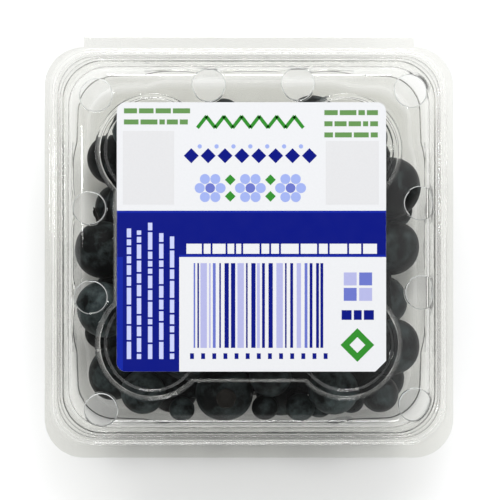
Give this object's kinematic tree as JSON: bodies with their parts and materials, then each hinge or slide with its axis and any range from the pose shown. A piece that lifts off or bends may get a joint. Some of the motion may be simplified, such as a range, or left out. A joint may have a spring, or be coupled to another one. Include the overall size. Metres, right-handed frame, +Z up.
{
  "type": "hinged clear punnet of blueberries",
  "caption": "Square clear plastic punnet heaped with blueberries, with a vented domed lid on a rear hinge and a printed square label on its raised panel.",
  "frame": {"origin": "middle of the footprint, on the surface that the punnet stands on", "axes": "+Z up; the hinge is at the back, +Y, and the lip that opens is at the front, -Y; +X is to the right seen from the front"},
  "size_m": [0.115, 0.1186, 0.0407],
  "materials": {
    "clear_plastic": "clear thin formed sheet",
    "label_paper": "smooth, coated",
    "berry_skin": "waxy fruit skin"
  },
  "bodies": {
    "tray_body": {"tray": "clear_plastic", "blueberries": "berry_skin"},
    "lid_body": {"lid": "clear_plastic", "label": "label_paper"}
  },
  "joints": [
    {"name": "lid_hinge", "type": "hinge", "parent": "tray_body", "child": "lid_body", "pos_m": [0, 0.05885, 0.02715], "axis": [-1, 0, 0], "range_deg": [0, 180]}
  ]
}
